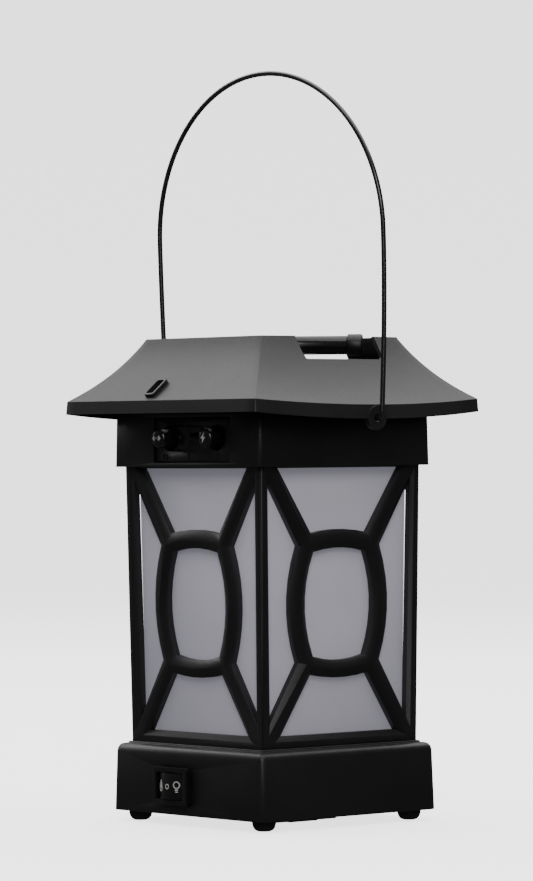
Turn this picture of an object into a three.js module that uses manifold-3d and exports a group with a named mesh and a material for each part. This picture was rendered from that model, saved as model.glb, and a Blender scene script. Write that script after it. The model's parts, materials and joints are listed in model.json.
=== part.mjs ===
// A square patio lantern that keeps biting insects away with a fuel-heated repellent mat and that also lights up
// with LEDs. Millimetres, +Z up, origin on the table under the middle. The controls are on the -Y face and the
// wire bail swings about X, between the +X and -X faces.
import * as THREE from "three";
import { mergeVertices } from "three/addons/utils/BufferGeometryUtils.js";
import Module from "manifold-3d";

const wasm = await Module();
wasm.setup();

// ---- Driving dimensions -------------------------------------------------------------------------------------
const GAP = 0.3; // left between pieces that touch
const SLIVER = 0.004; // edges shorter than this are dropped after a cut or a join

const BASE = { bottom: 5.7, top: 42.9, half: 64.2, halfTop: 63.0, edge: 4.5, corner: 5, wall: 2.5 };
const BODY = { bottom: 43.2, top: 199.4, half: 55.9, halfTop: 58.45, corner: 2.4, post: 8.9, depth: 5.2 };
const COLLAR = { bottom: 196.3, top: 226.0, half: 62.5, halfTop: 61.8, corner: 3.2, wall: 2.5 };
const ROOF = {
  fascia: 225.7, eave: 232.7, top: 267.2, eaveHalf: 81.0, fasciaHalf: 81.6, topHalf: 49.3,
  sagRadius: 100, wall: 2.5, corner: 1.2, bulgeEave: 6.1, bulgeTop: 3.5, dip: 3.9,
};
const SIDE_NOTCH = { floor: 254.5, at: -1.6, halfFloor: 28.7, halfTop: 29 }; // finger cut-out in the +X roof face
const REAR_NOTCH = { floor: 254.5, at: -14.9, halfFloor: 19.1, halfTop: 21.6 }; // and in the +Y roof face
const BOSS = { z: 222.2, radius: 6.6, wall: 3.3, proud: 0.3, hole: 4.6 }; // the bail's ears
const BAIL = { wire: 2.8, legX: 91.6, springZ: 324, halfSpan: 95.2, rise: 89.8, tuck: 83, bend: 3, bow: 5 };
const CONTROLS = { z: 212.1, slotX: -9.3, slot: 23.3, hole: 14.3, knob: 11.1, knobX: -13.8 };
const BUTTON = { x: 25.2, projection: 9.7, travel: 4 };
const PANEL = { left: -27.5, right: 37.5, bottom: 198.6, top: 223.4, recess: 1.0, thick: 1.8 };
const ROCKER = { x: -9.2, z: 21.6, width: 28.9, height: 20.8, projection: 4.2, capWidth: 22.2, capHeight: 14.2 };
const TRAY = { half: 48.5, wall: 2.2, bottom: 226.3, rim: 253.9, deck: 244.5, deckThick: 2.5 };
const HEATER = { x: -6, y: 14, length: 44, width: 26 };
const CARTRIDGE = { z: 263, radius: 5.25, from: -34, to: 42.4, capRadius: 6.2, capEnd: 51 };
const FOOT = { at: 52.8, radius: 6.5, flat: 3.3, height: 5.6 };
const BAY = { left: -5.2, right: 53, front: -46.6, back: 0, top: 24.5, pitch: 14.8, cellRadius: 7.1, cells: 3 };

// ---- Solids and how they are joined ---------------------------------------------------------------------------
function toSolid(geometry) {
  const bare = geometry.index ? geometry.toNonIndexed() : geometry.clone();
  bare.deleteAttribute("normal");
  bare.deleteAttribute("uv");
  const merged = mergeVertices(bare, 1e-3);
  return new wasm.Manifold(
    new wasm.Mesh({
      numProp: 3,
      vertProperties: merged.attributes.position.array,
      triVerts: new Uint32Array(merged.index.array),
    }),
  );
}

function toGeometry(solid) {
  const mesh = solid.simplify(SLIVER).getMesh();
  const geometry = new THREE.BufferGeometry();
  geometry.setAttribute("position", new THREE.BufferAttribute(new Float32Array(mesh.vertProperties), 3));
  geometry.setIndex(new THREE.BufferAttribute(new Uint32Array(mesh.triVerts), 1));
  const flat = geometry.toNonIndexed();
  flat.computeVertexNormals();
  return flat;
}

const union = (first, ...rest) =>
  toGeometry(rest.reduce((sum, item) => sum.add(toSolid(item)), toSolid(first)));
const cut = (first, ...tools) =>
  toGeometry(tools.reduce((left, tool) => left.subtract(toSolid(tool)), toSolid(first)));
const overlap = (first, ...rest) =>
  toGeometry(rest.reduce((kept, item) => kept.intersect(toSolid(item)), toSolid(first)));

// ---- Basic shapes, already in place -----------------------------------------------------------------------------
// A block given by its lowest and highest corner.
function block([x0, y0, z0], [x1, y1, z1]) {
  return new THREE.BoxGeometry(x1 - x0, y1 - y0, z1 - z0).translate((x0 + x1) / 2, (y0 + y1) / 2, (z0 + z1) / 2);
}

// A turned solid about Z from [radius, height] pairs that start and end on the axis, bottom first.
function turned(profile, sides = 16) {
  return new THREE.LatheGeometry(profile.map(([r, z]) => new THREE.Vector2(r, z)), sides).rotateX(Math.PI / 2);
}

function rod(radius, from, to, sides = 16) {
  return turned([[0, from], [radius, from], [radius, to], [0, to]], sides);
}

// Turns a solid made along Z so that it lies along X or Y, front end first.
const alongX = (geometry) => geometry.rotateY(Math.PI / 2);
const alongY = (geometry) => geometry.rotateX(-Math.PI / 2);

// A flat outline drawn in X and Z, extruded in Y from y0 to y1.
function plateXZ(shape, y0, y1, curveSegments = 8) {
  const flat = new THREE.ExtrudeGeometry(shape, { depth: y1 - y0, bevelEnabled: false, curveSegments });
  return flat.rotateX(Math.PI / 2).translate(0, y1, 0);
}

function polygon(points) {
  return new THREE.Shape(points.map(([x, y]) => new THREE.Vector2(x, y)));
}

// A rectangle with round ends or corners, about (cx, cy).
function roundRect(cx, cy, width, height, radius) {
  const [x, y] = [width / 2, height / 2];
  const shape = new THREE.Shape();
  shape.absarc(cx + x - radius, cy - y + radius, radius, -Math.PI / 2, 0);
  shape.absarc(cx + x - radius, cy + y - radius, radius, 0, Math.PI / 2);
  shape.absarc(cx - x + radius, cy + y - radius, radius, Math.PI / 2, Math.PI);
  shape.absarc(cx - x + radius, cy - y + radius, radius, Math.PI, 1.5 * Math.PI);
  return shape;
}

// A round tube or wire through points, with flat ends.
function wire(points, radius, steps, sides = 8) {
  const path = new THREE.CatmullRomCurve3(points.map((p) => new THREE.Vector3(...p)), false, "centripetal");
  const section = new THREE.Shape();
  for (let i = 0; i < sides; i += 1) {
    const angle = (2 * Math.PI * i) / sides;
    section[i ? "lineTo" : "moveTo"](radius * Math.cos(angle), radius * Math.sin(angle));
  }
  section.closePath();
  return new THREE.ExtrudeGeometry(section, { steps, extrudePath: path, curveSegments: 1 });
}

// A solid with a rounded square section at every height: each profile point is [half side, height]. The profile is
// closed, or starts and ends on the axis. It is a lathe whose circles are bent onto rounded squares; its corner
// radius shrinks by as much as the point lies inside the outermost one. bend(x, y, z) may move each vertex.
function squareLathe(profile, corner, { sideSteps = 1, cornerSteps = 3, bend = null } = {}) {
  const perSide = sideSteps + cornerSteps;
  const lathe = new THREE.LatheGeometry(profile.map(([r, z]) => new THREE.Vector2(r, z)), 4 * perSide);
  const outer = Math.max(...profile.map(([half]) => half));
  const position = lathe.attributes.position;
  for (let v = 0; v < position.count; v += 1) {
    const column = Math.floor(v / profile.length) % (4 * perSide);
    const [half, z] = profile[v % profile.length];
    const radius = Math.min(half, Math.max(0.3, corner - (outer - half)));
    const quarter = Math.floor(column / perSide);
    const step = column % perSide;
    const flat = half - radius;
    let [x, y] = [half, -flat + (2 * flat * step) / sideSteps];
    if (step > sideSteps) {
      const angle = ((step - sideSteps) / cornerSteps) * (Math.PI / 2);
      [x, y] = [flat + radius * Math.cos(angle), flat + radius * Math.sin(angle)];
    }
    for (let turn = 0; turn < quarter; turn += 1) [x, y] = [-y, x];
    const moved = bend ? bend(x, y, z) : [x, y, z];
    position.setXYZ(v, ...moved);
  }
  return lathe;
}

const arcPoints = (cx, cy, radius, from, to, count) =>
  Array.from({ length: count + 1 }, (_, i) => {
    const angle = THREE.MathUtils.degToRad(from + ((to - from) * i) / count);
    return [cx + radius * Math.cos(angle), cy + radius * Math.sin(angle)];
  });

// Points of a shallow arc between two points, bowed by sag to the right of the way from a to b; without b itself.
function bow([ax, ay], [bx, by], sag, count) {
  const chord = Math.hypot(bx - ax, by - ay);
  return Array.from({ length: count }, (_, i) => {
    const t = i / count;
    const lift = (4 * sag * t * (1 - t)) / chord;
    return [ax + (bx - ax) * t + (by - ay) * lift, ay + (by - ay) * t - (bx - ax) * lift];
  });
}

// ---- The group, and the finishes --------------------------------------------------------------------------------
const lantern = new THREE.Group();
lantern.name = "patio_lantern";

const FINISH = {
  shell: { color: 0x1b1b1d, roughness: 0.6, metalness: 0 },
  roof: { color: 0x232325, roughness: 0.55, metalness: 0 },
  gloss: { color: 0x101011, roughness: 0.2, metalness: 0 },
  rubber: { color: 0x141414, roughness: 0.8, metalness: 0 },
  diffuser: { color: 0xe4e2ea, roughness: 0.5, metalness: 0 },
  white: { color: 0xd8d8d4, roughness: 0.5, metalness: 0 },
  wire: { color: 0x111112, roughness: 0.3, metalness: 0.6 },
  steel: { color: 0xb4b6ba, roughness: 0.35, metalness: 1 },
  brass: { color: 0xb08d4a, roughness: 0.35, metalness: 1 },
  cell: { color: 0x3b3f46, roughness: 0.35, metalness: 0.4 },
  mat: { color: 0x4f7fb5, roughness: 0.9, metalness: 0 },
  board: { color: 0x2e6b48, roughness: 0.6, metalness: 0 },
  lens: { color: 0xf2eedd, roughness: 0.2, metalness: 0 },
};

function add(name, geometry, finish, [x, y, z] = [0, 0, 0]) {
  const mesh = new THREE.Mesh(geometry, new THREE.MeshStandardMaterial(FINISH[finish]));
  mesh.name = name;
  mesh.position.set(x, y, z);
  lantern.add(mesh);
  return mesh;
}

// ---- Roof ---------------------------------------------------------------------------------------------------------
// The roof's concave slope: an arc of sagRadius from the eave up to the top rim, as [half side, height] pairs.
function slope(inset, count) {
  const low = new THREE.Vector2(ROOF.eaveHalf, ROOF.eave);
  const high = new THREE.Vector2(ROOF.topHalf, ROOF.top);
  const chord = high.clone().sub(low);
  const out = new THREE.Vector2(chord.y, -chord.x).normalize();
  const middle = low.clone().add(high).multiplyScalar(0.5);
  const centre = middle.addScaledVector(out, Math.sqrt(ROOF.sagRadius ** 2 - (chord.length() / 2) ** 2));
  const angleOf = (point) => THREE.MathUtils.radToDeg(Math.atan2(point.y - centre.y, point.x - centre.x));
  const [from, to] = [angleOf(low) + 360, angleOf(high) + 360].map((angle) => angle % 360);
  return arcPoints(centre.x, centre.y, ROOF.sagRadius + inset, from, to, count);
}

// The two bail faces swell outwards and their eaves dip, both most at the middle of the face.
function roofBend(x, y, z) {
  const height = THREE.MathUtils.clamp((z - ROOF.fascia) / (ROOF.top - ROOF.fascia), 0, 1);
  const half = THREE.MathUtils.lerp(ROOF.eaveHalf, ROOF.topHalf, height);
  const onBailFace = Math.abs(x) >= Math.abs(y) ? 1 : 0;
  const middle = onBailFace * Math.max(0, 1 - (y / Math.max(half, Math.abs(x))) ** 2);
  const swell = THREE.MathUtils.lerp(ROOF.bulgeEave, ROOF.bulgeTop, height) * middle;
  return [x + Math.sign(x) * swell, y, z - ROOF.dip * (1 - height) * middle];
}

function makeRoof() {
  const outside = slope(0, 7);
  const skirt = ROOF.fasciaHalf - ROOF.wall;
  const inside = slope(ROOF.wall, 6).map(([half, z]) => [Math.min(half, skirt), z]);
  const profile = [
    [skirt, ROOF.fascia], [ROOF.fasciaHalf, ROOF.fascia], ...outside, [inside.at(-1)[0], ROOF.top],
    ...inside.reverse(), [skirt, ROOF.fascia],
  ];
  const shell = squareLathe(profile, ROOF.corner, { sideSteps: 8, cornerSteps: 1, bend: roofBend });
  const rearNotch = notchTool(REAR_NOTCH);
  const sideNotch = notchTool(SIDE_NOTCH).rotateZ(-Math.PI / 2);
  const faceX = ROOF.fasciaHalf + ROOF.bulgeEave + BOSS.proud;
  const [ears, holes] = [[], []];
  for (const side of [-1, 1]) {
    const [from, to] = [side * (faceX - BOSS.wall), side * faceX].sort((a, b) => a - b);
    ears.push(alongX(rod(BOSS.radius, from, to, 20)).translate(0, 0, BOSS.z));
    holes.push(alongX(rod(BOSS.hole / 2, from - 4, to + 4, 16)).translate(0, 0, BOSS.z));
  }
  const { rim, bore } = sightHole();
  const posts = [];
  for (const [x, y] of corners(55)) posts.push(rod(3.8, ROOF.fascia + 0.6, 252, 10).translate(x, y, 0));
  const bores = corners(55).map(([x, y]) => rod(1.7, 220, 241, 8).translate(x, y, 0));
  const joined = union(shell, ...ears, rim, ...posts);
  add("roof_shell", cut(joined, rearNotch, sideNotch, bore, ...holes, ...bores), "roof");
}

// Cuts one finger notch down from the rim of the +Y face.
function notchTool({ floor, at, halfFloor, halfTop }) {
  const above = ROOF.top + 8;
  const shape = polygon([
    [at - halfFloor, floor], [at + halfFloor, floor], [at + halfTop, above], [at - halfTop, above],
  ]);
  return plateXZ(shape, 20, 75);
}

// The sight hole: a raised rounded rim on the front slope with an opening through it.
function sightHole() {
  const place = { x: -11, half: 73.2, z: 239.1, tilt: 39.5 };
  const tip = THREE.MathUtils.degToRad(place.tilt);
  const put = (shape, low, high) =>
    new THREE.ExtrudeGeometry(shape, { depth: high - low, bevelEnabled: false, curveSegments: 4 })
      .translate(0, 0, low)
      .rotateX(tip)
      .translate(place.x, -place.half, place.z);
  return {
    rim: put(roundRect(0, 0, 8.4, 13.8, 1.8), -1.5, 1.7),
    bore: put(roundRect(0, 0, 5.8, 11.2, 1.2), -12, 6),
  };
}

function corners(at) {
  return [[at, -at], [at, at], [-at, at], [-at, -at]];
}

// ---- Bail ---------------------------------------------------------------------------------------------------------
function makeBail() {
  const half = [[BAIL.tuck, BOSS.z], [BAIL.tuck + 2.5, BOSS.z], [BAIL.legX - BAIL.bend - 1, BOSS.z]];
  half.push(...arcPoints(BAIL.legX - BAIL.bend, BOSS.z + BAIL.bend, BAIL.bend, -90, 0, 3));
  const legTop = BAIL.springZ - BOSS.z;
  for (const share of [0.25, 0.5, 0.75]) {
    half.push([THREE.MathUtils.lerp(BAIL.legX, BAIL.halfSpan, share), BOSS.z + legTop * share]);
  }
  const archSteps = 9;
  for (let i = 0; i < archSteps; i += 1) {
    const angle = ((Math.PI / 2) * i) / archSteps;
    half.push([BAIL.halfSpan * Math.cos(angle), BAIL.springZ + BAIL.rise * Math.sin(angle)]);
  }
  const height = BAIL.springZ + BAIL.rise - BOSS.z;
  const right = half.map(([x, z]) => [x, -BAIL.bow * ((z - BOSS.z) / height) ** 2, z - BOSS.z]);
  const left = right.map(([x, y, z]) => [-x, y, z]).reverse();
  const path = [...right, [0, -BAIL.bow, height], ...left];
  add("bail_handle", wire(path, BAIL.wire / 2, 84), "wire", [0, 0, BOSS.z]);
}

// ---- Collar, control panel and controls ----------------------------------------------------------------------------
function makeCollar() {
  const inner = COLLAR.half - COLLAR.wall;
  const profile = [
    [BODY.halfTop + 0.45, COLLAR.bottom], [COLLAR.half, COLLAR.bottom], [COLLAR.halfTop, COLLAR.top],
    [40, COLLAR.top], [40, COLLAR.top - 2.2], [COLLAR.halfTop - COLLAR.wall, COLLAR.top - 2.2],
    [inner, COLLAR.bottom + 2.2], [BODY.halfTop + 0.45, COLLAR.bottom + 2.2],
  ];
  profile.push(profile[0]);
  const shell = squareLathe(profile, COLLAR.corner);
  const window = block([PANEL.left, -70, PANEL.bottom], [PANEL.right, -50, PANEL.top]);
  const holes = corners(55).map(([x, y]) => rod(1.7, 220, 230, 8).translate(x, y, 0));
  add("collar", cut(shell, window, ...holes), "shell");
}

function makePanel() {
  const face = -(COLLAR.half + COLLAR.halfTop) / 2 + PANEL.recess;
  const shape = polygon([
    [PANEL.left + GAP, PANEL.bottom + GAP], [PANEL.right - GAP, PANEL.bottom + GAP],
    [PANEL.right - GAP, PANEL.top - GAP], [PANEL.left + GAP, PANEL.top - GAP],
  ]);
  shape.holes.push(
    roundRect(CONTROLS.slotX, CONTROLS.z, CONTROLS.slot, CONTROLS.hole, CONTROLS.hole / 2 - 0.01),
    new THREE.Path().absarc(BUTTON.x, CONTROLS.z, CONTROLS.hole / 2, 0, 2 * Math.PI),
  );
  add("control_panel", plateXZ(shape, face, face + PANEL.thick, 6), "shell");
  return face;
}

// A pushed or slid cap with a domed end at y = -projection; its back reaches y = back.
function capProfile(radius, projection, back) {
  return [
    [0, -projection], [radius * 0.55, -projection + 0.25], [radius * 0.86, -projection + 0.8],
    [radius, -projection + 1.9], [radius, back], [0, back],
  ];
}

function makeControls(face) {
  const radius = CONTROLS.knob / 2;
  const behind = PANEL.thick + GAP;
  const knob = alongY(turned(capProfile(radius, 10.4, behind + 0.5), 20));
  const shoe = block([-9, behind, -9.5], [15, behind + 1.5, 9.5]);
  const peg = alongY(rod(2.2, behind + 1, 10.5, 10));
  add("valve_knob", union(knob, shoe, peg), "gloss", [CONTROLS.knobX, face, CONTROLS.z]);
  const cap = alongY(turned(capProfile(radius, BUTTON.projection, 2), 20));
  const stem = alongY(rod(2.5, 1, 6, 10));
  add("igniter_button", union(cap, stem), "gloss", [BUTTON.x, face, CONTROLS.z]);
  const crystalFront = face + 6 + BUTTON.travel + 0.5;
  add("piezo_igniter", alongY(rod(5, crystalFront, crystalFront + 32, 12)), "white", [BUTTON.x, 0, CONTROLS.z]);
  add("gas_valve", block([-24, face + 11, 203], [6, face + 31, 219]), "brass");
}

// ---- Gas and heat ----------------------------------------------------------------------------------------------------
function makeTray() {
  const [out, inn] = [TRAY.half, TRAY.half - TRAY.wall];
  const deckTop = TRAY.deck + TRAY.deckThick;
  const profile = [
    [0, TRAY.deck], [inn, TRAY.deck], [inn, TRAY.bottom], [out, TRAY.bottom], [out, TRAY.rim], [inn, TRAY.rim],
    [inn, deckTop], [0, deckTop],
  ];
  const body = squareLathe(profile, 2.5, { cornerSteps: 2 });
  const { x, y, length, width } = HEATER;
  const vent = block([x - length / 2 + 6, y - width / 2 + 4, 230], [x + length / 2 - 6, y + width / 2 - 4, 250]);
  const fuelHole = rod(2.6, 230, 250, 10).translate(-29.7, -29.7, 0);
  add("heater_tray", cut(body, vent, fuelHole), "shell");
}

function makeHeater() {
  const { x, y, length, width } = HEATER;
  const deckTop = TRAY.deck + TRAY.deckThick + GAP;
  const [left, right, front, back] = [x - length / 2, x + length / 2, y - width / 2, y + width / 2];
  add("heater_plate", block([left, front, deckTop], [right, back, deckTop + 1.4]), "steel");
  const matBottom = deckTop + 1.4 + GAP;
  add("repellent_mat", block([left + 2, front + 2, matBottom], [right - 2, back - 2, matBottom + 2]), "mat");
  const top = matBottom + 2 + GAP;
  const hood = block([left - 2, front - 2.3, deckTop], [right + 0.01, back + 2.3, top + 1.6]);
  const inside = block([left - GAP, front - GAP, 240], [right + 1, back + GAP, top]);
  const slots = [];
  for (let i = 0; i < 5; i += 1) {
    const at = left + 4 + i * 8;
    slots.push(block([at, front + 3, 240], [at + 5, back - 3, 260]));
  }
  add("mat_grill", cut(hood, inside, ...slots), "steel");
  const burner = union(rod(8, 233, 241, 16), rod(4, 229, 234, 12));
  add("burner", burner, "brass", [x, y, 0]);
}

function makeFuel() {
  const { z, radius, from, to, capRadius, capEnd } = CARTRIDGE;
  const diagonal = (geometry) => alongX(geometry).rotateZ(Math.PI / 4).translate(0, 0, z);
  const can = turned([[0, from - 8], [2.2, from - 8], [2.2, from - 1], [radius - 1.2, from], [radius, from + 1.5],
    [radius, to - 0.01], [0, to - 0.01]], 18);
  add("fuel_cartridge", diagonal(can), "gloss");
  const cap = turned([[0, to + GAP], [capRadius, to + GAP], [capRadius, capEnd - 0.8], [capRadius - 0.8, capEnd],
    [0, capEnd]], 18);
  add("cartridge_cap", diagonal(cap), "shell");
  const socketEnd = from - GAP - 1;
  const socket = rod(3.9, socketEnd - 14, socketEnd, 16);
  const well = rod(2.6, from - 9, from + 5, 12);
  const foot = block([-34.2, -34.2, TRAY.deck + TRAY.deckThick + GAP], [-25.2, -25.2, z - 1.5]);
  add("cartridge_socket", cut(union(diagonal(socket), foot), diagonal(well)), "brass");
}

function makeLines() {
  const fuel = [[-29.7, -29.7, 246.6], [-29.7, -29.7, 240], [-28, -30, 230], [-21, -34, 224], [-20, -35, 221], [-20, -35, 219.4]];
  add("fuel_line", wire(fuel, 1.5, 16), "brass");
  const { x, y } = HEATER;
  const gas = [[-9, -29.5, 211], [-9, -24, 211], [-9, -8, 214], [x - 1, y - 3, 221], [x, y, 226.5], [x, y, 228.5]];
  add("burner_line", wire(gas, 1.5, 20), "brass");
  const lead = [[BUTTON.x, -17, 212.1], [BUTTON.x, -10, 212.1], [22, 4, 220], [12, y, 232], [x + 10, y, 238],
    [x + 9, y, 242.5]];
  add("spark_lead", wire(lead, 0.8, 20, 6), "white");
}

// ---- Lantern body ------------------------------------------------------------------------------------------------------
// A window's outline at the ridge line of the bars: the bars' slopes then close it in by `ridge` on every side.
const LATTICE = {
  ridge: 4.2, rise: 1.8, oval: [18.8, 149.6, 92.8], ovalBow: [2.2, 6.0, 2.4], node: [29.3, 153, 89.7], nodeBow: 6.1,
  top: [42.3, 194.1, 20.6, 159.7, 2.1], bottom: [39.9, 51.7, 20.8, 83.0, 2.2], side: [181.4, 64.4],
};

function windowOutlines() {
  const [ox, oTop, oLow] = LATTICE.oval;
  const [bowTop, bowSide, bowLow] = LATTICE.ovalBow;
  const oval = [
    ...bow([-ox, oLow], [ox, oLow], bowLow, 5), ...bow([ox, oLow], [ox, oTop], bowSide, 7),
    ...bow([ox, oTop], [-ox, oTop], bowTop, 5), ...bow([-ox, oTop], [-ox, oLow], bowSide, 7),
  ];
  const [tw, tz, tn, tl, tb] = LATTICE.top;
  const top = [[tw, tz], [-tw, tz], ...bow([-tn, tl], [tn, tl], -tb, 5), [tn, tl]];
  const [bw, bz, bn, bu, bb] = LATTICE.bottom;
  const bottom = [[-bw, bz], [bw, bz], ...bow([bn, bu], [-bn, bu], -bb, 5), [-bn, bu]];
  const [nx, nTop, nLow] = LATTICE.node;
  const [apexTop, apexLow] = LATTICE.side;
  const postAt = (z) => faceHalf(z) - BODY.post;
  const right = [
    ...bow([nx, nTop], [nx, nLow], -LATTICE.nodeBow, 7), [nx, nLow],
    [postAt(apexLow), apexLow], [postAt(apexTop), apexTop],
  ];
  const left = right.map(([x, z]) => [-x, z]).reverse();
  return [oval, top, bottom, right, left];
}

const faceHalf = (z) =>
  THREE.MathUtils.mapLinear(z, BODY.bottom, BODY.top, BODY.half, BODY.halfTop);

// Moves each edge of a counter-clockwise outline outwards by `by` and returns the new corners.
function grown(points, by) {
  const area = points.reduce((sum, [x, y], i) => {
    const [nx, ny] = points[(i + 1) % points.length];
    return sum + x * ny - nx * y;
  }, 0);
  const sign = Math.sign(area) * by;
  return points.map((point, i) => {
    const before = points.at(i - 1);
    const after = points[(i + 1) % points.length];
    const a = new THREE.Vector2(point[0] - before[0], point[1] - before[1]).normalize();
    const b = new THREE.Vector2(after[0] - point[0], after[1] - point[1]).normalize();
    const normal = new THREE.Vector2(a.y + b.y, -a.x - b.x).multiplyScalar(1 / (1 + a.dot(b)));
    return [point[0] + normal.x * sign, point[1] + normal.y * sign];
  });
}

function makePanels() {
  const { ridge, rise } = LATTICE;
  const outline = polygon([[-70, BODY.bottom], [70, BODY.bottom], [70, BODY.top], [-70, BODY.top]]);
  outline.holes = windowOutlines().map((points) => polygon(grown(points, ridge)));
  const flat = new THREE.ExtrudeGeometry(outline, {
    depth: BODY.depth, bevelSize: ridge, bevelThickness: rise, bevelSegments: 1, curveSegments: 1,
  });
  const lean = Math.atan((BODY.halfTop - BODY.half) / (BODY.top - BODY.bottom));
  const slab = flat
    .translate(0, -BODY.bottom, -rise - BODY.depth)
    .rotateX(Math.PI / 2 + lean)
    .translate(0, -BODY.half, BODY.bottom);
  const inside = [[BODY.halfTop - BODY.depth, BODY.top], [BODY.half - BODY.depth, BODY.bottom]];
  const ring = [inside[1], [BODY.half, BODY.bottom], [BODY.halfTop, BODY.top], ...inside];
  const envelope = squareLathe(ring, BODY.corner, { cornerSteps: 4 });
  const mitre = new THREE.ExtrudeGeometry(polygon([[0, -GAP / 2], [-80, -80 - GAP / 2], [80, -80 - GAP / 2]]),
    { depth: 300, bevelEnabled: false });
  const panel = overlap(slab, envelope, mitre);
  ["front", "right", "back", "left"].forEach((face, i) => {
    add(`side_panel_${face}`, panel.clone(), "shell").rotation.z = (i * Math.PI) / 2;
  });
}

function makeDiffuser() {
  const inset = BODY.depth + 0.45;
  const [low, high] = [BODY.half - inset, BODY.halfTop - inset];
  const [from, to] = [BODY.bottom, 196];
  const profile = [[low - 1.6, from], [low, from], [high, to], [high - 1.6, to], [low - 1.6, from]];
  add("diffuser", squareLathe(profile, 1.8, { cornerSteps: 2 }), "diffuser");
  add("diffuser_cap", squareLathe([[0, to + GAP], [high, to + GAP], [high, to + 2], [0, to + 2]], 1.5,
    { cornerSteps: 2 }), "white");
}

function makeLamp() {
  const boardTop = BODY.bottom + 1.6;
  add("led_board", block([-17, -17, BODY.bottom], [17, 17, boardTop]), "board");
  [[-8, -6], [8, -6], [0, 9]].forEach(([x, y], i) => {
    const dome = turned([[0, 0], [2.9, 0], [2.9, 1], [2.5, 1], [2.5, 6], [1.8, 7.8], [0, 8.5]], 12);
    add(`led_${i + 1}`, dome, "lens", [x, y, boardTop + GAP]);
  });
}

// ---- Base ----------------------------------------------------------------------------------------------------------------
function makeBase() {
  const { bottom, top, half, halfTop, edge, wall } = BASE;
  const lip = BODY.half + 0.4;
  const profile = [
    [half - wall, bottom], [half, bottom],
    ...arcPoints(halfTop - edge, top - edge, edge, 3, 90, 5),
    [lip + 1.1, top], [lip + 1.1, top + 1.0], [lip, top + 1.0], [lip, top - GAP], [14, top - GAP], [14, top - 2.6],
    [halfTop - wall, top - 2.6], [half - wall, bottom],
  ];
  const shell = squareLathe(profile, BASE.corner, { cornerSteps: 4 });
  const opening = block([ROCKER.x - 13, -70, ROCKER.z - 9], [ROCKER.x + 13, -55, ROCKER.z + 9]);
  add("base_housing", cut(shell, opening), "shell");
  const plateHalf = half - wall - GAP - 0.1;
  const plate = squareLathe([[0, bottom + 0.2], [plateHalf, bottom + 0.2], [plateHalf, bottom + 2.4],
    [0, bottom + 2.4]], 2.5, { cornerSteps: 2 });
  const bayHole = block([BAY.left + 2.5, BAY.front + 2.5, 0], [BAY.right - 2.5, BAY.back - 2.5, 20]);
  const holes = SCREWS.map(([x, y]) => rod(1.8, 0, 20, 8).translate(x, y, 0));
  add("base_plate", cut(plate, bayHole, ...holes), "shell");
}

const SCREWS = [[50, 35], [-50, 35], [-50, -35], [8, -53]];

function makeScrews() {
  const screw = (head, shank, length) =>
    turned([[0, 0], [head * 0.7, 0], [head, 0.5], [head, 1.1], [shank, 1.1], [shank, length], [0, length + 0.8]], 10);
  SCREWS.forEach(([x, y], i) => {
    add(`base_screw_${i + 1}`, screw(2.9, 1.4, 12), "steel", [x, y, BASE.bottom + 0.2 - 1.4]);
  });
  corners(55).forEach(([x, y], i) => {
    add(`roof_screw_${i + 1}`, screw(2.9, 1.3, 16), "steel", [x, y, COLLAR.top - 2.2 - 1.4]);
  });
}

function makeFeet() {
  const { radius, flat, height } = FOOT;
  const profile = [[0, 0], [flat, 0], [flat + 1.6, 0.7], [radius - 0.5, 2.2], [radius, 4.2], [radius, height], [0, height]];
  corners(FOOT.at).forEach(([x, y], i) => add(`foot_${i + 1}`, turned(profile, 16), "rubber", [x, y, 0]));
}

function makeBattery() {
  const { left, right, front, back, top, pitch, cellRadius, cells } = BAY;
  const floor = BASE.bottom + 2.4 + GAP;
  const bay = block([left, front, floor], [right, back, top + 1.6]);
  const room = block([left + 1.6, front + 1, 0], [right - 1.6, back - 1, top]);
  add("battery_tray", cut(bay, room), "shell");
  const door = union(
    block([left + 1.2, front + 1.2, 3.9], [right, back - 1.2, 5.4]),
    ...[0, 1, 2].map((i) => block([right - 8 + 2.4 * i, -33, 3.3], [right - 6.8 + 2.4 * i, -13, 4.2])),
  );
  add("battery_door", door, "shell");
  const cellZ = floor + cellRadius + 0.3;
  const cell = turned([[0, 0], [cellRadius - 0.6, 0], [cellRadius, 0.6], [cellRadius, 48.4], [cellRadius - 0.8, 49.2],
    [2.75, 49.2], [2.75, 50.4], [0, 50.4]], 16);
  for (let i = 0; i < cells; i += 1) {
    const y = back - 1 - GAP - pitch * (i + 0.5) + 0.3;
    const flip = i % 2;
    const negative = flip ? right - 1.6 - 0.5 - 2.9 : left + 1.6 + 0.5 + 2.9;
    const mesh = add(`battery_${i + 1}`, alongX(cell.clone()), "cell", [negative, y, cellZ]);
    const spring = add(`contact_spring_${i + 1}`, coil(3.2, 0.3, 2.3, 2), "steel", [negative, y, cellZ]);
    mesh.rotation.z = flip * Math.PI;
    spring.rotation.z = flip * Math.PI;
  }
  for (const [name, x] of [["contact_plate_left", left + 1.6 + GAP / 2], ["contact_plate_right", right - 2.1]]) {
    add(name, block([x, front + 2, floor + 1.5], [x + 0.35, back - 2, top - 2]), "steel");
  }
}

// A short helical spring along -X from the origin, clear of it by a gap.
function coil(radius, wireRadius, length, turns) {
  const count = Math.round(turns * 8);
  const points = Array.from({ length: count + 1 }, (_, i) => {
    const angle = (2 * Math.PI * turns * i) / count;
    const along = -GAP - wireRadius - ((length - 2 * wireRadius) * i) / count;
    return [along, radius * Math.cos(angle), radius * Math.sin(angle)];
  });
  return wire(points, wireRadius, count, 6);
}

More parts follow.
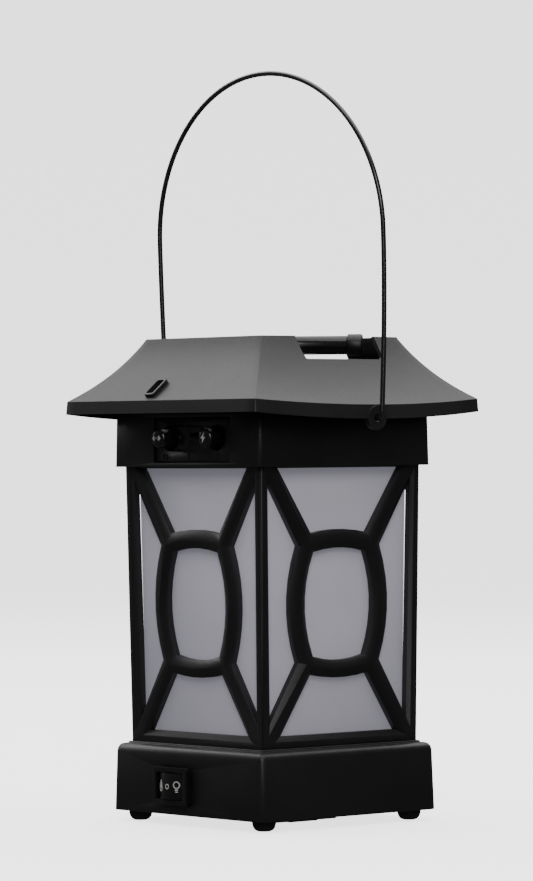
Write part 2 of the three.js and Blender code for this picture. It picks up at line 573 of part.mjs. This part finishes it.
// ---- Light switch ----------------------------------------------------------------------------------------------------------
function makeSwitch() {
  const wallY = -64.3;
  const { x, z, width, height, projection, capWidth, capHeight } = ROCKER;
  const face = -63.7 - projection;
  const rim = roundRect(x, z, width, height, 1.2);
  const opening = roundRect(x, z, capWidth + 0.7, capHeight + 0.7, 0.6);
  const flange = plateXZ(rim, face, wallY, 3);
  const body = block([x - 12.6, wallY - 1, z - 8.6], [x + 12.6, -50, z + 8.6]);
  const pocket = plateXZ(opening, face - 1, -52, 3);
  add("switch_bezel", cut(union(flange, body), pocket), "gloss");
  const sideArc = (from, to) => arcPoints(0, 0, capWidth / 2, from, to, 2);
  const outline = polygon([
    ...bow([-10.8, -2.6], [10.8, -2.6], 3.4, 8), ...sideArc(-13.5, 13.5), [6, 8], [-6, 8], ...sideArc(166.5, 193.5),
  ]);
  const cap = new THREE.ExtrudeGeometry(outline, { depth: capHeight, bevelEnabled: false }).translate(0, 0, -capHeight / 2);
  add("light_rocker", cap, "gloss", [x, face + 4.5, z]);
}

makeRoof();
makeBail();
makeCollar();
makeControls(makePanel());
makeTray();
makeHeater();
makeFuel();
makeLines();
makePanels();
makeDiffuser();
makeLamp();
makeBase();
makeScrews();
makeFeet();
makeBattery();
makeSwitch();

export default lantern;
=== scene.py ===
"""The looks of the patio insect repeller lantern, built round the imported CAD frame.

Metres, +Z up, -Y is the front. Named sizes are in millimetres where they are multiplied by MM.
"""

import json
import math

import bmesh
import bpy
from mathutils import Matrix, Vector
from mathutils.geometry import tessellate_polygon


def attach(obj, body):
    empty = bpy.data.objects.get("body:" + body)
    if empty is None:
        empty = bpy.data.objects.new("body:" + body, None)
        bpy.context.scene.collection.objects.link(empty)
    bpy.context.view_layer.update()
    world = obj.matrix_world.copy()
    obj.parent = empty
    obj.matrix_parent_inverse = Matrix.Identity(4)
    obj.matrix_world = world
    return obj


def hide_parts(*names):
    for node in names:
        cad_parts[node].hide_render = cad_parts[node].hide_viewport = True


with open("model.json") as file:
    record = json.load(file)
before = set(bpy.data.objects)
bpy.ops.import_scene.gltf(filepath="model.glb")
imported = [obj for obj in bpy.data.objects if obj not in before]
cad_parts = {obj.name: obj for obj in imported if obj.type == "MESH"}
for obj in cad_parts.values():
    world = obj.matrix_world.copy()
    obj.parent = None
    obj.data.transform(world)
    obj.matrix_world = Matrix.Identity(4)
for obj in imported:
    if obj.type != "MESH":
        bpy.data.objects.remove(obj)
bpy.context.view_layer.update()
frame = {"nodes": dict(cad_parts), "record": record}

MM = 0.001
nodes = frame["nodes"]


# ---- Camera, light and stage ---------------------------------------------------------------------
CAMERA = {
    "distance": 2.444, "azimuth": 49.37, "height": 0.2094,
    "yaw": -0.0685, "pitch": 0.024, "roll": 0.427,
}
LENS_MM = 179.8
SENSOR_MM = 36


def make_camera():
    """A long lens nearly level with the lantern's middle, looking at its front right corner."""
    azimuth = math.radians(CAMERA["azimuth"])
    place = Vector((math.sin(azimuth), -math.cos(azimuth), 0)) * CAMERA["distance"]
    place.z = CAMERA["height"]
    turn = Matrix.Rotation(azimuth - math.radians(CAMERA["yaw"]), 4, "Z")
    tilt = Matrix.Rotation(math.radians(90 + CAMERA["pitch"]), 4, "X")
    roll = Matrix.Rotation(-math.radians(CAMERA["roll"]), 4, "Z")
    data = bpy.data.cameras.new("camera")
    data.lens = LENS_MM
    data.sensor_width = SENSOR_MM
    data.clip_end = 30
    camera = bpy.data.objects.new("camera", data)
    camera.matrix_world = Matrix.Translation(place) @ turn @ tilt @ roll
    bpy.context.scene.collection.objects.link(camera)
    bpy.context.scene.camera = camera


def area_light(name, place, size, power, aim=(0, 0, 0.2)):
    """A white rectangular light at a place, facing a point."""
    data = bpy.data.lights.new(name, "AREA")
    data.shape = "RECTANGLE"
    data.size, data.size_y = size
    data.energy = power
    light = bpy.data.objects.new(name, data)
    light.location = place
    light.rotation_euler = (Vector(aim) - Vector(place)).to_track_quat("-Z", "Y").to_euler()
    bpy.context.scene.collection.objects.link(light)


def make_stage():
    """A white floor that sweeps up into a backdrop all round, far enough off to show from every side."""
    radius, sweep, height, sides, steps = 5.0, 1.2, 6.0, 96, 10
    profile = [(0, 0), (radius - sweep, 0)]
    for i in range(1, steps + 1):
        angle = math.pi / 2 * i / steps
        profile.append((radius - sweep + sweep * math.sin(angle), sweep - sweep * math.cos(angle)))
    profile.append((radius, height))
    mesh = bmesh.new()
    rings = []
    turns = [2 * math.pi * i / sides for i in range(sides)]
    for r, z in profile[1:]:
        rings.append([mesh.verts.new((r * math.cos(a), r * math.sin(a), z)) for a in turns])
    mesh.faces.new(rings[0])
    for low, high in zip(rings, rings[1:]):
        for i in range(sides):
            mesh.faces.new((low[i], low[(i + 1) % sides], high[(i + 1) % sides], high[i]))
    stage = mesh_object("stage", mesh, smooth=True)
    stage.data.materials.append(stage_material())
    # The backdrop is there to be seen, and doesn't light or mirror in the lantern.
    stage.visible_diffuse = False
    stage.visible_glossy = False


def make_lights():
    """A wide ceiling softbox, a fill near the camera, a strip at each side, and a dim room."""
    area_light("ceiling_softbox", (-0.3, 0.3, 2.0), (3.6, 3.6), 95)
    area_light("front_softbox", (1.7, -1.5, 1.3), (0.9, 0.9), 14)
    area_light("left_strip", (-2.0, -0.4, 1.2), (0.5, 1.4), 10)
    area_light("camera_strip", (2.35, -1.75, 0.6), (0.16, 1.5), 7, aim=(0, 0, 0.3))
    world = bpy.data.worlds.new("studio")
    world.use_nodes = True
    background = world.node_tree.nodes["Background"]
    background.inputs["Color"].default_value = (1, 1, 1, 1)
    background.inputs["Strength"].default_value = 0.1
    bpy.context.scene.world = world


# ---- Materials -----------------------------------------------------------------------------------
def new_material(name, colour, roughness, metallic=0.0):
    """A new material, its node tree and its Principled shader."""
    material = bpy.data.materials.new(name)
    material.use_nodes = True
    tree = material.node_tree
    shader = tree.nodes["Principled BSDF"]
    shader.inputs["Base Color"].default_value = (*colour, 1)
    shader.inputs["Roughness"].default_value = roughness
    shader.inputs["Metallic"].default_value = metallic
    return material, tree, shader


def noise(tree, scale, detail=3.0, roughness=0.55, stretch=(1, 1, 1)):
    """Object-space noise; scale is in features to the metre, and stretch scales each axis."""
    coordinates = tree.nodes.new("ShaderNodeTexCoord")
    mapping = tree.nodes.new("ShaderNodeMapping")
    mapping.inputs["Scale"].default_value = stretch
    texture = tree.nodes.new("ShaderNodeTexNoise")
    texture.inputs["Scale"].default_value = scale
    texture.inputs["Detail"].default_value = detail
    texture.inputs["Roughness"].default_value = roughness
    tree.links.new(coordinates.outputs["Object"], mapping.inputs["Vector"])
    tree.links.new(mapping.outputs["Vector"], texture.inputs["Vector"])
    return texture.outputs["Fac"]


def ramp(tree, value, low, high, stops=(0.3, 0.7)):
    """Maps a value to a colour between low and high."""
    mapped = tree.nodes.new("ShaderNodeValToRGB")
    mapped.color_ramp.elements[0].position = stops[0]
    mapped.color_ramp.elements[1].position = stops[1]
    mapped.color_ramp.elements[0].color = (*low, 1)
    mapped.color_ramp.elements[1].color = (*high, 1)
    tree.links.new(value, mapped.inputs["Fac"])
    return mapped.outputs["Color"]


def span(tree, value, low, high):
    """Maps a 0 to 1 value to low to high."""
    mapped = tree.nodes.new("ShaderNodeMapRange")
    mapped.inputs["To Min"].default_value = low
    mapped.inputs["To Max"].default_value = high
    tree.links.new(value, mapped.inputs["Value"])
    return mapped.outputs["Result"]


def bump(tree, shader, height, strength, distance, below=None):
    """Bumps the shader's normal by a height, on top of the normal given as below."""
    node = tree.nodes.new("ShaderNodeBump")
    node.inputs["Strength"].default_value = strength
    node.inputs["Distance"].default_value = distance
    tree.links.new(height, node.inputs["Height"])
    if below:
        tree.links.new(below, node.inputs["Normal"])
    tree.links.new(node.outputs["Normal"], shader.inputs["Normal"])
    return node.outputs["Normal"]


def moulded_plastic(name, colour, roughness, grain=0.18, grain_scale=1500):
    """Injection-moulded plastic with a fine spark-eroded grain, faint flow clouds and uneven gloss."""
    material, tree, shader = new_material(name, colour, roughness)
    clouds = noise(tree, 22, 4)
    light = tuple(min(1, c * 1.35 + 0.002) for c in colour)
    dark = tuple(c * 0.8 for c in colour)
    tree.links.new(ramp(tree, clouds, dark, light), shader.inputs["Base Color"])
    speckle = noise(tree, grain_scale * 0.6, 2)
    tree.links.new(span(tree, speckle, roughness - 0.09, roughness + 0.09), shader.inputs["Roughness"])
    fine = bump(tree, shader, noise(tree, grain_scale, 3, 0.65), grain, 0.00012)
    bump(tree, shader, noise(tree, 14, 2), 0.05, 0.0004, below=fine)
    return material


def gloss_plastic(name, colour, roughness=0.16):
    """Polished plastic with faint ripple and a few dull patches from handling."""
    material, tree, shader = new_material(name, colour, roughness)
    tree.links.new(span(tree, noise(tree, 160, 5), roughness - 0.05, roughness + 0.14),
                   shader.inputs["Roughness"])
    tree.links.new(ramp(tree, noise(tree, 60, 3), colour, tuple(c * 1.5 + 0.003 for c in colour)),
                   shader.inputs["Base Color"])
    bump(tree, shader, noise(tree, 260, 2), 0.08, 0.0001)
    return material


def opal_plastic():
    """Frosted white sheet: a little light soaks in, a faint painted glow brightens it as though lit, and it
    is milkier in patches.
    """
    material, tree, shader = new_material("opal", (0.66, 0.65, 0.71), 0.42)
    tree.links.new(ramp(tree, noise(tree, 12, 3), (0.60, 0.59, 0.66), (0.70, 0.69, 0.75)),
                   shader.inputs["Base Color"])
    shader.inputs["Subsurface Weight"].default_value = 0.25
    shader.inputs["Subsurface Radius"].default_value = (0.004, 0.004, 0.005)
    shader.inputs["Subsurface Scale"].default_value = 1.0
    # Painted glow: a faint even emission stands in for light falling on the sheet, not a lamp lit inside.
    shader.inputs["Emission Color"].default_value = (0.86, 0.85, 1.0, 1)
    shader.inputs["Emission Strength"].default_value = 0.12
    bump(tree, shader, noise(tree, 2400, 2), 0.12, 0.00008)
    return material


def metal(name, colour, roughness, brush=(1, 1, 1)):
    """Bare metal with fine drawn or turned marks along the axis where brush is smallest."""
    material, tree, shader = new_material(name, colour, roughness, metallic=1.0)
    marks = noise(tree, 700, 4, 0.6, brush)
    tree.links.new(span(tree, marks, roughness - 0.1, roughness + 0.15), shader.inputs["Roughness"])
    tree.links.new(ramp(tree, noise(tree, 45, 4), tuple(c * 0.82 for c in colour), colour),
                   shader.inputs["Base Color"])
    bump(tree, shader, marks, 0.12, 0.00006)
    return material


def enamel(name, colour, roughness=0.22):
    """Baked black enamel on wire, with slight orange peel."""
    material, tree, shader = new_material(name, colour, roughness)
    shader.inputs["Coat Weight"].default_value = 0.6
    shader.inputs["Coat Roughness"].default_value = 0.12
    tree.links.new(span(tree, noise(tree, 300, 3), roughness - 0.05, roughness + 0.1),
                   shader.inputs["Roughness"])
    tree.links.new(ramp(tree, noise(tree, 90, 3), colour, tuple(c * 1.8 + 0.004 for c in colour)),
                   shader.inputs["Base Color"])
    bump(tree, shader, noise(tree, 900, 2), 0.1, 0.00008)
    return material


def fibre_pad():
    """The repellent mat: pressed fibre, blue, paler where it has dried."""
    material, tree, shader = new_material("mat_fibre", (0.1, 0.25, 0.55), 0.92)
    tree.links.new(ramp(tree, noise(tree, 90, 5), (0.07, 0.2, 0.5), (0.2, 0.38, 0.66)),
                   shader.inputs["Base Color"])
    bump(tree, shader, noise(tree, 1300, 4, 0.7), 0.5, 0.0003)
    return material


def stage_material():
    """The pale studio floor and backdrop, with a trace of tooth so that it isn't a flat colour."""
    material, tree, shader = new_material("stage_white", (0.93, 0.93, 0.93), 0.8)
    tree.links.new(ramp(tree, noise(tree, 3, 3), (0.91, 0.91, 0.91), (0.94, 0.94, 0.94)),
                   shader.inputs["Base Color"])
    shader.inputs["Emission Color"].default_value = (1, 1, 1, 1)
    shader.inputs["Emission Strength"].default_value = 2.2
    return material


def make_materials():
    """One material for each slot of the record."""
    black = (0.0085, 0.0085, 0.0095)
    return {
        "shell_plastic": moulded_plastic("shell_black", black, 0.42),
        "roof_plastic": moulded_plastic("roof_black", (0.013, 0.013, 0.0145), 0.46, grain=0.22),
        "gloss_plastic": gloss_plastic("gloss_black", (0.006, 0.006, 0.0065)),
        "foot_rubber": moulded_plastic("foot_rubber", (0.01, 0.01, 0.01), 0.7, grain=0.1, grain_scale=900),
        "opal_diffuser": opal_plastic(),
        "white_plastic": moulded_plastic("white_plastic", (0.62, 0.62, 0.6), 0.45, grain=0.08),
        "black_wire": enamel("black_enamel", (0.006, 0.006, 0.0065)),
        "steel": metal("steel", (0.58, 0.59, 0.61), 0.32, brush=(0.08, 1, 1)),
        "brass": metal("brass", (0.68, 0.5, 0.22), 0.3),
        "cell_jacket": enamel("cell_jacket", (0.03, 0.035, 0.045), 0.25),
        "mat_pad": fibre_pad(),
        "circuit_board": gloss_plastic("board_green", (0.02, 0.13, 0.06), 0.35),
        "led_lens": gloss_plastic("led_lens", (0.85, 0.8, 0.62), 0.15),
    }


# ---- Mesh helpers --------------------------------------------------------------------------------
def mesh_object(name, mesh, smooth=True):
    """Turns a bmesh into a linked object with consistent normals."""
    bmesh.ops.recalc_face_normals(mesh, faces=mesh.faces)
    data = bpy.data.meshes.new(name)
    mesh.to_mesh(data)
    mesh.free()
    for face in data.polygons:
        face.use_smooth = smooth
    piece = bpy.data.objects.new(name, data)
    bpy.context.scene.collection.objects.link(piece)
    return piece


def soften(piece, width, angle=30):
    """Rounds the sharp edges of a piece and keeps its flats flat."""
    weld = piece.modifiers.new("weld", "WELD")
    weld.merge_threshold = 0.00001
    bevel = piece.modifiers.new("bevel", "BEVEL")
    bevel.width = width
    bevel.segments = 2
    bevel.limit_method = "ANGLE"
    bevel.angle_limit = math.radians(angle)
    bevel.harden_normals = True
    bevel.miter_outer = "MITER_ARC"


def apply_modifiers(piece):
    """Replaces a piece's mesh by what its modifiers make of it."""
    bpy.context.view_layer.update()
    seen = piece.evaluated_get(bpy.context.evaluated_depsgraph_get())
    data = bpy.data.meshes.new_from_object(seen)
    piece.modifiers.clear()
    piece.data = data


def boolean(piece, operation, tools):
    """Joins the tools to a piece, or cuts them out of it, and removes them."""
    for tool in tools:
        step = piece.modifiers.new("boolean", "BOOLEAN")
        step.operation = operation
        step.solver = "EXACT"
        step.object = tool
    apply_modifiers(piece)
    for tool in tools:
        bpy.data.objects.remove(tool)


def tidy(piece, merge=0.02 * MM):
    """Merges what the booleans left on top of each other."""
    mesh = bmesh.new()
    mesh.from_mesh(piece.data)
    bmesh.ops.remove_doubles(mesh, verts=mesh.verts, dist=merge)
    bmesh.ops.dissolve_degenerate(mesh, edges=mesh.edges, dist=merge)
    mesh.to_mesh(piece.data)
    mesh.free()
    for face in piece.data.polygons:
        face.use_smooth = True


def finish(piece, body, slot, materials, replaced=None):
    """Gives a piece its slot's material, ties it to its body, and hides the CAD node it stands for."""
    piece.data.materials.clear()
    piece.data.materials.append(materials[slot])
    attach(piece, body)
    if replaced:
        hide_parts(replaced)


def prism(name, outline, low, high, plane="XZ"):
    """A solid between two depths from a flat outline, all in millimetres.

    An XZ outline goes along Y, a YZ one along X and an XY one along Z.
    """
    def put(u, v, w):
        return {"XZ": (u, w, v), "YZ": (w, u, v), "XY": (u, v, w)}[plane]
    mesh = bmesh.new()
    ends = [[mesh.verts.new(Vector(put(u, v, w)) * MM) for u, v in outline] for w in (low, high)]
    mesh.faces.new(ends[0])
    mesh.faces.new(ends[1][::-1])
    count = len(outline)
    for i in range(count):
        j = (i + 1) % count
        mesh.faces.new((ends[0][i], ends[1][i], ends[1][j], ends[0][j]))
    return mesh_object(name, mesh, smooth=False)


def arc(cx, cy, radius, start, end, steps):
    """Points on an arc, in degrees, both ends included."""
    turns = [math.radians(start + (end - start) * i / steps) for i in range(steps + 1)]
    return [(cx + radius * math.cos(a), cy + radius * math.sin(a)) for a in turns]


def round_rect(cx, cy, width, height, radius, steps=5):
    """A rectangle with rounded corners, as a run of points."""
    x, y = width / 2 - radius, height / 2 - radius
    points = []
    for i, (sx, sy) in enumerate(((1, -1), (1, 1), (-1, 1), (-1, -1))):
        points += arc(cx + sx * x, cy + sy * y, radius, 90 * (i - 1), 90 * i, steps)
    return points


def square_loft(name, profile, corner, side_steps=1, corner_steps=6, bend=None):
    """A solid with a rounded square section at each height.

    The profile is a closed run of (half side, height) pairs in millimetres. The corner radius
    shrinks towards the inside. bend(x, y, z) may move each point.
    """
    outer = max(half for half, _ in profile)
    mesh = bmesh.new()
    rings = []
    for half, z in profile:
        radius = max(0.3, corner - (outer - half))
        flat = half - radius
        ring = []
        for quarter in range(4):
            side = [(half, -flat + 2 * flat * i / side_steps) for i in range(side_steps + 1)]
            turn = [(flat + radius * math.cos(a), flat + radius * math.sin(a))
                    for a in (math.pi / 2 * i / corner_steps for i in range(1, corner_steps))]
            for x, y in side + turn:
                for _ in range(quarter):
                    x, y = -y, x
                ring.append(mesh.verts.new(Vector(bend(x, y, z) if bend else (x, y, z)) * MM))
        rings.append(ring)
    count = len(rings[0])
    for k, ring in enumerate(rings):
        after = rings[(k + 1) % len(rings)]
        for i in range(count):
            j = (i + 1) % count
            mesh.faces.new((ring[i], ring[j], after[j], after[i]))
    return mesh_object(name, mesh)


def tube(name, points, radius, sides=16):
    """A round wire through points in metres, with slightly tapered ends."""
    mesh = bmesh.new()
    points = [Vector(p) for p in points]
    last = len(points) - 1
    along = [(points[min(i + 1, last)] - points[max(i - 1, 0)]).normalized() for i in range(last + 1)]
    across = along[0].orthogonal().normalized()
    rings = []
    for i, (point, way) in enumerate(zip(points, along)):
        across = (across - way * across.dot(way)).normalized()
        other = way.cross(across)
        thin = 0.75 if i in (0, last) else 1
        ring = []
        for s in range(sides):
            angle = 2 * math.pi * s / sides
            out = across * math.cos(angle) + other * math.sin(angle)
            ring.append(mesh.verts.new(point + out * radius * thin))
        rings.append(ring)
    for a, b in zip(rings, rings[1:]):
        for s in range(sides):
            t = (s + 1) % sides
            mesh.faces.new((a[s], a[t], b[t], b[s]))
    mesh.faces.new(rings[0][::-1])
    mesh.faces.new(rings[-1])
    return mesh_object(name, mesh)


# ---- Roof ----------------------------------------------------------------------------------------
ROOF = {
    "fascia": 225.7, "eave": 232.7, "top": 267.2,
    "eave_half": 81.0, "fascia_half": 81.6, "top_half": 49.3,
    "slope_radius": 100, "wall": 2.5, "corner": 1.3,
    "bulge_eave": 6.1, "bulge_top": 3.5, "dip": 3.9,
}
EAR = {"z": 222.2, "radius": 6.6, "wall": 3.3, "proud": 0.3, "hole": 2.3}
SIDE_NOTCH = (1.6, 28.7, 29.0)  # middle, and half widths at the floor and at the rim
REAR_NOTCH = (-14.9, 19.1, 21.6)
NOTCH_FLOOR = 254.5
SCREW_POST = {"at": 55, "radius": 3.8, "top": 252, "bore": 1.7}
SIGHT_HOLE = {"x": -11, "y": -73.2, "z": 239.1, "tilt": 39.5}


def slope(inset, steps):
    """The concave slope from the eave up to the rim, as (half side, height) pairs."""
    low = Vector((ROOF["eave_half"], ROOF["eave"]))
    high = Vector((ROOF["top_half"], ROOF["top"]))
    chord = high - low
    out = Vector((chord.y, -chord.x)).normalized()
    centre = (low + high) / 2 + out * math.sqrt(ROOF["slope_radius"] ** 2 - (chord.length / 2) ** 2)
    start, end = (math.degrees(math.atan2(*(p - centre).yx)) % 360 for p in (low, high))
    return arc(centre.x, centre.y, ROOF["slope_radius"] + inset, start, end, steps)


def roof_bend(x, y, z):
    """The two bail faces swell outwards and their eaves dip, both most at mid-face."""
    height = min(1, max(0, (z - ROOF["fascia"]) / (ROOF["top"] - ROOF["fascia"])))
    half = ROOF["eave_half"] + (ROOF["top_half"] - ROOF["eave_half"]) * height
    middle = max(0, 1 - (y / max(half, abs(x))) ** 2) if abs(x) >= abs(y) else 0
    swell = (ROOF["bulge_eave"] + (ROOF["bulge_top"] - ROOF["bulge_eave"]) * height) * middle
    return x + math.copysign(swell, x), y, z - ROOF["dip"] * (1 - height) * middle


def notch_tool(centre, half_floor, half_top, low, high, plane):
    """A cutter for a finger notch: sloping sides and rounded lower corners."""
    floor, above, r = NOTCH_FLOOR, ROOF["top"] + 8, 1.6
    outline = [(centre - half_top, above)]
    outline += arc(centre - half_floor + r, floor + r, r, 180, 270, 4)
    outline += arc(centre + half_floor - r, floor + r, r, 270, 360, 4)
    outline.append((centre + half_top, above))
    return prism("notch_tool", outline, low, high, plane)


def ear_disc(side, radius, inner, outer, steps=40):
    """A disc round the bail's hinge line, between two distances from the lantern's middle."""
    outline = arc(0, EAR["z"], radius, 0, 360 * (steps - 1) / steps, steps - 1)
    return prism("ear_tool", outline, *sorted((side * inner, side * outer)), plane="YZ")


def sight_tool(width, length, radius, low, high):
    """A rounded bar standing square to the front slope at the sight hole."""
    tool = prism("sight_tool", round_rect(0, 0, width, length, radius), low, high, plane="XY")
    place = Vector((SIGHT_HOLE["x"], SIGHT_HOLE["y"], SIGHT_HOLE["z"])) * MM
    tilt = Matrix.Rotation(math.radians(SIGHT_HOLE["tilt"]), 4, "X")
    tool.data.transform(Matrix.Translation(place) @ tilt)
    return tool


def make_roof(materials):
    """The roof shell with its bail ears, screw posts, finger notches and sight hole."""
    wall = ROOF["wall"]
    inner = ROOF["fascia_half"] - wall
    inside = [(min(h, inner), z) for h, z in slope(wall, 14)]
    profile = [(inner, ROOF["fascia"]), (ROOF["fascia_half"], ROOF["fascia"]), *slope(0, 16),
               (inside[-1][0], ROOF["top"]), *inside[::-1]]
    roof = square_loft("roof", profile, ROOF["corner"], side_steps=24, corner_steps=3, bend=roof_bend)
    face = ROOF["fascia_half"] + ROOF["bulge_eave"] + EAR["proud"]
    ears = [ear_disc(side, EAR["radius"], face - EAR["wall"], face) for side in (-1, 1)]
    at = SCREW_POST["at"]
    corners = [(x, y) for x in (-at, at) for y in (-at, at)]
    posts = [prism("post", arc(x, y, SCREW_POST["radius"], 0, 345, 23), ROOF["fascia"] + 0.6,
                   SCREW_POST["top"], "XY") for x, y in corners]
    boolean(roof, "UNION", [*ears, sight_tool(8.4, 13.8, 1.8, -1.5, 1.7), *posts])
    holes = [ear_disc(side, EAR["hole"], face - 8, face + 4, 24) for side in (-1, 1)]
    notches = [notch_tool(*SIDE_NOTCH, 20, 75, "YZ"), notch_tool(*REAR_NOTCH, 20, 75, "XZ")]
    bores = [prism("bore", arc(x, y, SCREW_POST["bore"], 0, 337.5, 15), 220, 241, "XY") for x, y in corners]
    boolean(roof, "DIFFERENCE", [*holes, *notches, *bores, sight_tool(5.8, 11.2, 1.2, -12, 6)])
    tidy(roof)
    soften(roof, 0.3 * MM, angle=35)
    finish(roof, "lantern", "roof_plastic", materials, "roof_shell")


# ---- Bail ----------------------------------------------------------------------------------------
BAIL = {
    "radius": 1.4, "leg": 91.6, "spring_z": 324, "half_span": 95.2,
    "rise": 89.8, "tuck": 83, "bend": 3, "bow": 5,
}


def make_bail(materials):
    """The wire goes out through an ear, turns up, rises past the roof and arches over to the other ear."""
    z0 = EAR["z"]
    half = [(BAIL["tuck"] + i * 0.9, z0) for i in range(7)]
    half += arc(BAIL["leg"] - BAIL["bend"], z0 + BAIL["bend"], BAIL["bend"], -90, -3, 10)
    bottom, top = z0 + BAIL["bend"], BAIL["spring_z"]
    for i in range(1, 30):
        share = i / 30
        half.append((BAIL["leg"] + (BAIL["half_span"] - BAIL["leg"]) * math.sin(share * math.pi / 2),
                     bottom + (top - bottom) * share))
    half += [(BAIL["half_span"] * math.cos(a), top + BAIL["rise"] * math.sin(a))
             for a in (math.pi / 2 * i / 60 for i in range(61))]
    height = top + BAIL["rise"] - z0
    points = [Vector((x, -BAIL["bow"] * ((z - z0) / height) ** 2, z)) * MM for x, z in half]
    points += [Vector((-p.x, p.y, p.z)) for p in points[-2::-1]]
    finish(tube("bail", points, BAIL["radius"] * MM), "bail", "black_wire", materials, "bail_handle")


# ---- Marks ---------------------------------------------------------------------------------------
PANEL_FACE = -61.15
CONTROL_Z = 212.1
LABEL_Z = 201.9
CAP_END = {"flat": 3.05, "flat_drop": 0.25, "edge": 1.72, "edge_drop": 0.55}
KNOB = {"x": -13.8, "tip": 10.4}
BUTTON = {"x": 25.2, "tip": 9.7}
ROCKER = {"x": -9.2, "y": -63.4, "z": 21.6, "half": 10.8, "edge": 2.6, "crown": 3.4}


def mark(name, outlines, place, low=-0.06, high=0.18):
    """A thin raised mark, in millimetres.

    outlines are lists of (u, v) points, the first outer and the rest holes. place(u, v) gives the
    point on the surface. The mark reaches from low to high in front of it, towards -Y.
    """
    flat = [[Vector((u, v, 0)) for u, v in outline] for outline in outlines]
    mesh = bmesh.new()
    layers = []
    for depth in (low, high):
        layers.append([mesh.verts.new((Vector(place(p.x, p.y)) - Vector((0, depth, 0))) * MM)
                       for outline in flat for p in outline])
    for a, b, c in tessellate_polygon(flat):
        for layer in layers:
            mesh.faces.new((layer[a], layer[b], layer[c]))
    first = 0
    for outline in flat:
        count = len(outline)
        for i in range(count):
            a, b = first + i, first + (i + 1) % count
            mesh.faces.new((layers[0][a], layers[0][b], layers[1][b], layers[1][a]))
        first += count
    return mesh_object(name, mesh, smooth=False)


def circle(u, v, radius, steps=24):
    """A circle as a run of points."""
    return arc(u, v, radius, 0, 360 * (steps - 1) / steps, steps - 1)


def bolt(height):
    """A spark, as a zigzag arrow without a head."""
    shape = [(0.14, 0.5), (-0.33, -0.06), (-0.04, -0.06), (-0.14, -0.5), (0.33, 0.08), (0.05, 0.08)]
    return [(u * height, v * height) for u, v in shape]


def double_arrow(half, head, bar):
    """A bar with an arrowhead at each end, from its half length, head length and half thickness."""
    neck = half - head
    upper = [(half, 0), (neck, head * 0.9), (neck, bar), (-neck, bar), (-neck, head * 0.9), (-half, 0)]
    return upper + [(u, -v) for u, v in upper[-2:0:-1]]


def teardrop(half_width, half_height, v, steps=24):
    """A flame: round below and pointed above."""
    turns = (2 * math.pi * i / steps for i in range(steps))
    return [(half_width * math.sin(a) * abs(math.sin(a / 2)) ** 1.2, v + half_height * math.cos(a))
            for a in turns]


def make_marks(materials):
    """White prints on the two push ends and the rocker, and raised marks under the controls."""
    def cap_end(control):
        def place(u, v):
            radius = math.hypot(u, v)
            drop = CAP_END["flat_drop"] * min(radius, CAP_END["flat"]) / CAP_END["flat"]
            drop += CAP_END["edge_drop"] * max(0, radius - CAP_END["flat"]) / CAP_END["edge"]
            return control["x"] + u, PANEL_FACE - control["tip"] + drop, CONTROL_Z + v
        return place

    def panel(x):
        return lambda u, v: (x + u, PANEL_FACE, LABEL_Z + v)

    def rocker(at):
        def place(u, v):
            share = (at + u + ROCKER["half"]) / (2 * ROCKER["half"])
            crown = ROCKER["edge"] + 4 * ROCKER["crown"] * share * (1 - share)
            return ROCKER["x"] + at + u, ROCKER["y"] - crown, ROCKER["z"] + v
        return place

    prints = [
        ("arrow_print", [double_arrow(3.5, 1.7, 0.45)], cap_end(KNOB), "gas_knob"),
        ("spark_print", [bolt(5.6)], cap_end(BUTTON), "start_button"),
        ("flame_print", [teardrop(2.6, 3.3, 0.3), teardrop(1.1, 1.2, -1.3)[::-1]], rocker(-6.6), "rocker"),
        ("off_print", [circle(0, 0, 1.5), circle(0, 0, 1.0)[::-1]], rocker(0), "rocker"),
        ("bulb_print", [circle(0, 1, 2.1), circle(0, 1, 1.5)[::-1]], rocker(6.6), "rocker"),
        ("bulb_neck_print", [round_rect(0, -1.7, 1.9, 0.7, 0.2)], rocker(6.6), "rocker"),
        ("bulb_foot_print", [round_rect(0, -2.8, 1.5, 0.6, 0.2)], rocker(6.6), "rocker"),
    ]
    for name, outlines, place, body in prints:
        finish(mark(name, outlines, place), body, "white_plastic", materials)
    raised = [
        ("off_mark", [circle(0, 0, 1.9), circle(0, 0, 1.3)[::-1]], panel(-18.9)),
        ("on_mark", [round_rect(0, 0, 0.7, 3.8, 0.2)], panel(1.3)),
        ("start_mark", [bolt(4.2)], panel(25.4)),
    ]
    for name, outlines, place in raised:
        finish(mark(name, outlines, place, high=0.35), "lantern", "shell_plastic", materials)


def dress_cad_nodes(materials):
    """Gives every CAD node its slot's material, and soft edges."""
    fine = {"battery", "contact", "led", "burner", "fuel", "spark", "piezo", "gas", "base_screw",
            "roof_screw"}
    for part in frame["record"]["subparts"]:
        node = nodes[part["node"]]
        node.data.materials.clear()
        node.data.materials.append(materials[part["material_slot"]])
        for face in node.data.polygons:
            face.use_smooth = True
        small = any(part["node"].startswith(word) for word in fine)
        soften(node, 0.15 * MM if small else 0.35 * MM)


make_camera()
make_stage()
make_lights()
materials = make_materials()
dress_cad_nodes(materials)
make_roof(materials)
make_bail(materials)
make_marks(materials)
